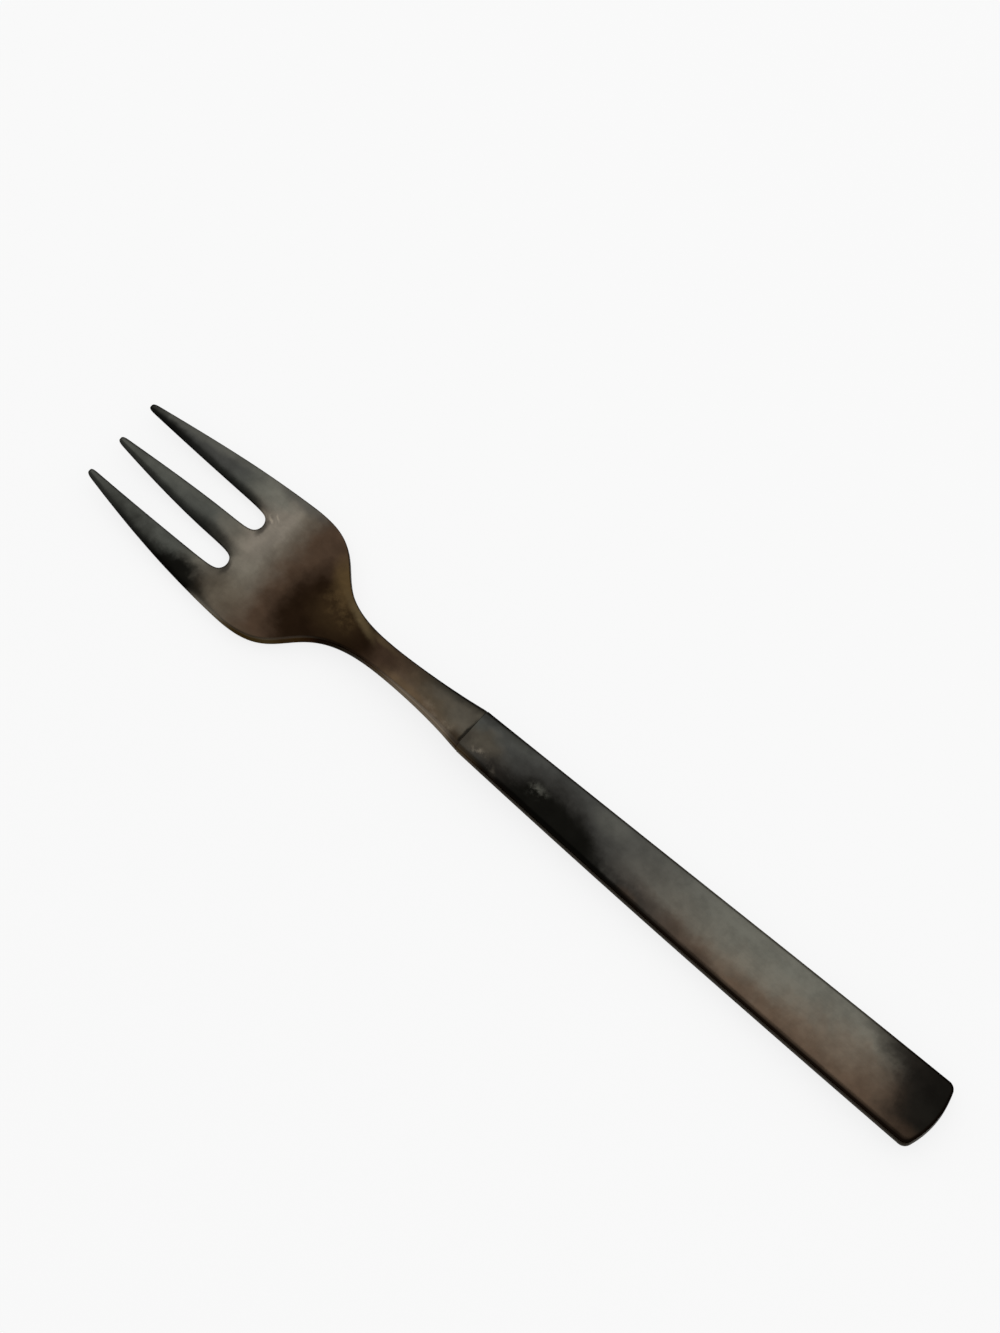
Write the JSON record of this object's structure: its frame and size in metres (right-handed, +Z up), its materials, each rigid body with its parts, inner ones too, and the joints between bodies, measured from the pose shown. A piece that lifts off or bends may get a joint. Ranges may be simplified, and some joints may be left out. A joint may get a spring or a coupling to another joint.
{
  "type": "seafood fork",
  "caption": "Slender seafood fork with long pointed tines, a rounded bowl, a waisted neck and a flat hollow handle that widens to a curved butt.",
  "frame": {"origin": "on the table, under the middle of the fork's overall box, as it lies with its tines curving up", "axes": "+X along the fork from the tine tips to the butt, +Y across it, +Z up from the table"},
  "size_m": [0.15, 0.0212, 0.0051],
  "materials": {
    "head_steel": "dark coated satin with brown patina",
    "handle_steel": "dark coated satin with brown patina",
    "cement": "matte resin cement",
    "solder": "dull solder"
  },
  "bodies": {
    "root": {"fork_head": "head_steel", "handle_top_shell": "handle_steel", "handle_bottom_shell": "handle_steel", "tang_cement": "cement", "seam_solder": "solder"}
  },
  "joints": []
}
